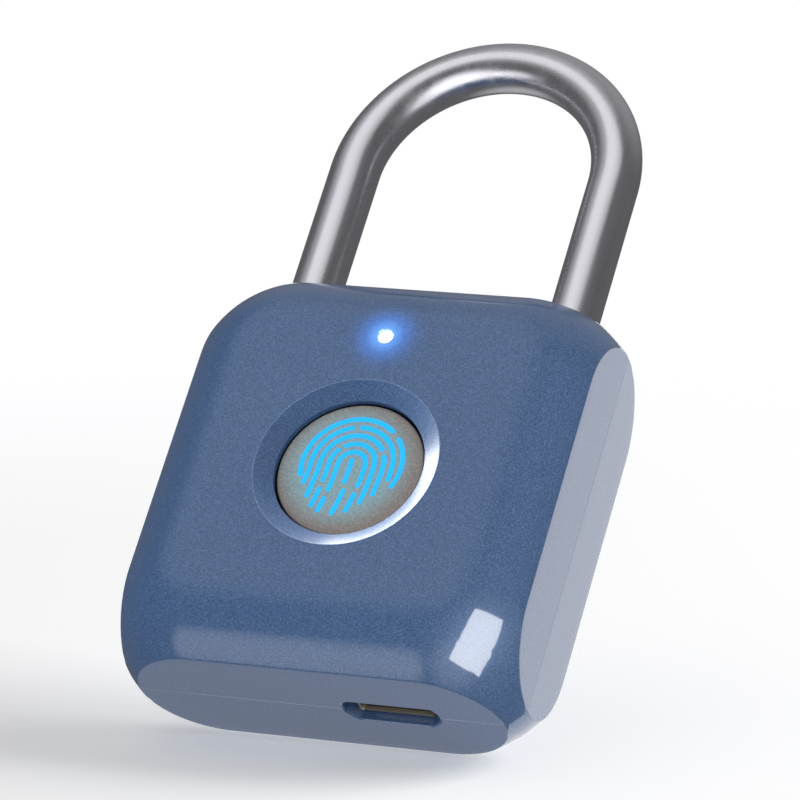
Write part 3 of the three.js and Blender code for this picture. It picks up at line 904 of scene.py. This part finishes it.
# The CAD pieces that are seen as they are
SOFT = ["seal_top", "seal_left", "seal_right", "sensor_gasket", "port_gasket", "battery_pad"]
CARRIED = [
    (zinc, ["lock_chassis", "lock_motor"]),
    (hardware, ["shackle_clip", "ejector_spring"]),
    (brass, ["locking_bolt", "drive_pinion"]),
    (board, ["sensor_board", "main_board"]),
    (chip, ["control_chip", "charge_chip"]),
    (dark, ["spring_seat", "sensor_holder"]),
    (cream, ["status_led", "sensor_flex"]),
    (rubber, SOFT),
    (foil, ["battery"]),
    (red_wire, ["battery_lead_red", "motor_lead_a"]),
    (black_wire, ["battery_lead_black", "motor_lead_b"]),
]
for material, names in CARRIED:
    for node in names:
        give(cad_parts[node], material)


# ---- studio ----------------------------------------------------------------------------------

# The camera, in metres, and its axes
CAM = Vector((181.914, -390.355, -204.529)) * MM
LENS = 232.4
FORWARD = Vector((-0.37224, 0.79226, 0.48348))
RIGHT = Vector((0.92536, 0.27654, 0.25930))
UP = Vector((-0.07173, -0.54391, 0.83607))
# The floor is a sheet tilted against the camera's up, in metres
FLOOR_TILT = math.radians(10)
FLOOR_GAP = 0.0004
FLOOR_HALF = 1.6
FLOOR_STEPS = 24
FLOOR_GLOW = 0.36
FADE_START = 0.10
FADE_END = 0.20
FLOOR_NORMAL = (UP * math.cos(FLOOR_TILT) - FORWARD * math.sin(FLOOR_TILT)).normalized()


def make_camera():
    data = bpy.data.cameras.new("camera")
    data.lens = LENS
    data.sensor_width = 36.0
    data.clip_start = 0.01
    data.clip_end = 20.0
    obj = bpy.data.objects.new("camera", data)
    scene.collection.objects.link(obj)
    rows = (RIGHT, UP, -FORWARD)
    basis = Matrix([[rows[c][r] for c in range(3)] for r in range(3)]).to_4x4()
    obj.matrix_world = Matrix.Translation(CAM) @ basis
    scene.camera = obj


def make_floor():
    """A wide pale sheet that the tilted lock touches with its lowest point. It fades out further away."""
    normal = FLOOR_NORMAL
    meshes = [o.data for o in bpy.data.objects if o.type == "MESH"]
    lowest = min(v.co.dot(normal) for mesh in meshes for v in mesh.vertices)
    deep = normal.cross(RIGHT).normalized()
    origin = normal * (lowest - FLOOR_GAP)
    steps = FLOOR_STEPS
    verts = []
    for i in range(steps + 1):
        for k in range(steps + 1):
            u, v = (2 * i / steps - 1) * FLOOR_HALF, (2 * k / steps - 1) * FLOOR_HALF
            verts.append(origin + RIGHT * u + deep * v)
    faces = []
    for i in range(steps):
        for k in range(steps):
            a = i * (steps + 1) + k
            faces.append((a, a + 1, a + steps + 2, a + steps + 1))
    mesh = bpy.data.meshes.new("floor")
    mesh.from_pydata(verts, [], faces)
    obj = bpy.data.objects.new("floor", mesh)
    scene.collection.objects.link(obj)
    n = Nodes("floor_sheet")
    n.set(Roughness=0.9)
    n.shader.inputs["Base Color"].default_value = (0.9, 0.9, 0.9, 1.0)
    n.shader.inputs["Emission Color"].default_value = (1.0, 1.0, 1.0, 1.0)
    n.shader.inputs["Emission Strength"].default_value = FLOOR_GLOW
    fine = n.noise(60, 3.0, 0.5)
    n.bump(fine, "Fac", 0.05, 0.0002)
    clear = n.add("ShaderNodeBsdfTransparent")
    back = n.add("ShaderNodeNewGeometry")
    reach = n.add("ShaderNodeVectorMath", operation="DISTANCE")
    n.tree.links.new(n.coord[0].outputs["Object"], reach.inputs[0])
    reach.inputs[1].default_value = (0.0, 0.0, 0.02)
    far = n.map(reach, "Value", FADE_START, FADE_END, 0.0, 1.0)
    gone = n.add("ShaderNodeMath", operation="MAXIMUM")
    n.link(back, "Backfacing", gone, 0)
    n.link(far, "Result", gone, 1)
    mix = n.add("ShaderNodeMixShader")
    n.link(gone, "Value", mix, "Fac")
    n.tree.links.new(n.shader.outputs["BSDF"], mix.inputs[1])
    n.tree.links.new(clear.outputs["BSDF"], mix.inputs[2])
    n.link(mix, "Shader", n.out, "Surface")
    give(obj, n.material)
    if obj.data.polygons[0].normal.dot(normal) < 0:
        obj.data.flip_normals()
    obj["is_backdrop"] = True
    return obj


def aim(obj, where, at):
    direction = (Vector(at) - Vector(where)).normalized()
    obj.matrix_world = Matrix.Translation(where) @ direction.to_track_quat("-Z", "Y").to_matrix().to_4x4()


def softbox(name, direction, width, height, radiance, diffuse=True, glossy=True):
    """A soft rectangular light 0.9 m out; width and height are in degrees as the object sees it."""
    distance = 0.9
    data = bpy.data.lights.new(name, "AREA")
    data.shape = "RECTANGLE"
    data.size = 2 * distance * math.tan(math.radians(width / 2))
    data.size_y = 2 * distance * math.tan(math.radians(height / 2))
    data.energy = radiance * math.pi * data.size * data.size_y
    obj = bpy.data.objects.new(name, data)
    scene.collection.objects.link(obj)
    centre = Vector((0, 0, 0.03))
    aim(obj, centre + Vector(direction).normalized() * distance, centre)
    obj.visible_camera = False
    obj.visible_diffuse = diffuse
    obj.visible_glossy = glossy
    return obj


def lobe(tree, coord, direction, inner, outer, value):
    """A soft round patch of light in the studio's surroundings."""
    dot = tree.nodes.new("ShaderNodeVectorMath")
    dot.operation = "DOT_PRODUCT"
    dot.inputs[1].default_value = Vector(direction).normalized()
    spread = tree.nodes.new("ShaderNodeMapRange")
    spread.interpolation_type = "SMOOTHSTEP"
    spread.inputs["From Min"].default_value = math.cos(math.radians(outer))
    spread.inputs["From Max"].default_value = math.cos(math.radians(inner))
    spread.inputs["To Max"].default_value = value
    tree.links.new(coord.outputs["Generated"], dot.inputs[0])
    tree.links.new(dot.outputs["Value"], spread.inputs["Value"])
    return spread.outputs["Result"]


def make_world():
    world = bpy.data.worlds.new("studio")
    world.use_nodes = True
    tree = world.node_tree
    tree.nodes.clear()
    out = tree.nodes.new("ShaderNodeOutputWorld")
    background = tree.nodes.new("ShaderNodeBackground")
    coord = tree.nodes.new("ShaderNodeTexCoord")
    background.inputs["Color"].default_value = (1.0, 1.0, 1.02, 1.0)
    total = None
    for direction, inner, outer, value in LOBES:
        patch = lobe(tree, coord, direction, inner, outer, value)
        add = tree.nodes.new("ShaderNodeMath")
        add.operation = "ADD"
        tree.links.new(patch, add.inputs[0])
        if total is None:
            add.inputs[1].default_value = WORLD_BASE
        else:
            tree.links.new(total, add.inputs[1])
        total = add.outputs["Value"]
    path = tree.nodes.new("ShaderNodeLightPath")
    seen = tree.nodes.new("ShaderNodeMapRange")
    seen.inputs["To Max"].default_value = 1.0
    tree.links.new(path.outputs["Is Camera Ray"], seen.inputs["Value"])
    tree.links.new(total, seen.inputs["To Min"])
    tree.links.new(seen.outputs["Result"], background.inputs["Strength"])
    tree.links.new(background.outputs["Background"], out.inputs["Surface"])
    scene.world = world


def only_for(light, objects):
    """The light shines on these objects alone."""
    group = bpy.data.collections.new(light.name + "_set")
    for obj in objects:
        group.objects.link(obj)
    light.light_linking.receiver_collection = group


# Light from all round, and soft patches in it as (direction, inner angle, outer angle, strength)
WORLD_BASE = 0.13
LOBES = [
    ((-0.36, -0.76, 0.52), 4, 46, 0.36),
    ((0.0, 0.1, 1.0), 5, 50, 0.2),
    ((-0.4, 0.8, -0.45), 6, 30, 0.4),
    ((-0.42, -0.43, -0.8), 4, 20, 1.0),
    ((0.3, -0.5, -0.8), 4, 28, 0.6),
]
# Soft fills on the lock as (name, direction, width in degrees, strength)
FILLS = [
    ("fill_front", (-0.3, -0.85, 0.35), 50, 0.3),
    ("fill_camera", (0.35, -0.8, -0.5), 45, 1.0),
    ("fill_top", (0.1, -0.3, 0.95), 60, 0.65),
    ("fill_right", (0.75, -0.6, 0.3), 50, 1.7),
    ("fill_left", (-0.85, -0.35, -0.3), 50, 2.6),
]
AWAY = (FORWARD - FLOOR_NORMAL * FORWARD.dot(FLOOR_NORMAL)).normalized()

make_camera()
floor = make_floor()
make_world()
floor.visible_glossy = False
lock_pieces = [o for o in bpy.data.objects if o.type == "MESH" and o != floor]
shackle = [bpy.data.objects["shackle_steel"]]
not_shackle = [o for o in lock_pieces if o not in shackle]
painted = [bpy.data.objects[name] for name in ("front_half", "rear_half")]
recess_rim = [bpy.data.objects["sensor_recess_rim"]]
only_for(softbox("corner_box", (0.65, -0.63, -0.43), 32, 54, 6.5, diffuse=False), painted)
only_for(softbox("back_box", (-0.74, -0.1, 0.67), 46, 46, 11.0), recess_rim)
for name, direction, width, radiance in FILLS:
    only_for(softbox(name, direction, width, width, radiance, glossy=False), lock_pieces)
only_for(softbox("rear_glow", (0.1, 0.95, 0.2), 68, 68, 1.15), not_shackle)
only_for(softbox("side_glow", (0.89, 0.45, -0.1), 32, 32, 0.9), not_shackle)
only_for(softbox("rod_box", (-0.05, -0.86, 0.5), 58, 36, 0.55, diffuse=False), shackle)
only_for(softbox("rod_fill", (0.4, -0.45, -0.8), 74, 56, 1.0, diffuse=False), shackle)
floor_side = FLOOR_NORMAL * 0.5 + RIGHT * 1.0 + AWAY * 0.1
only_for(softbox("floor_key", floor_side, 40, 40, 6.3, glossy=False), [floor])

visual_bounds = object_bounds()
sizes = {"cad": cad_bounds, "visual": visual_bounds}
{k: [[float(c) for c in corner] for corner in v] for k, v in sizes.items()}
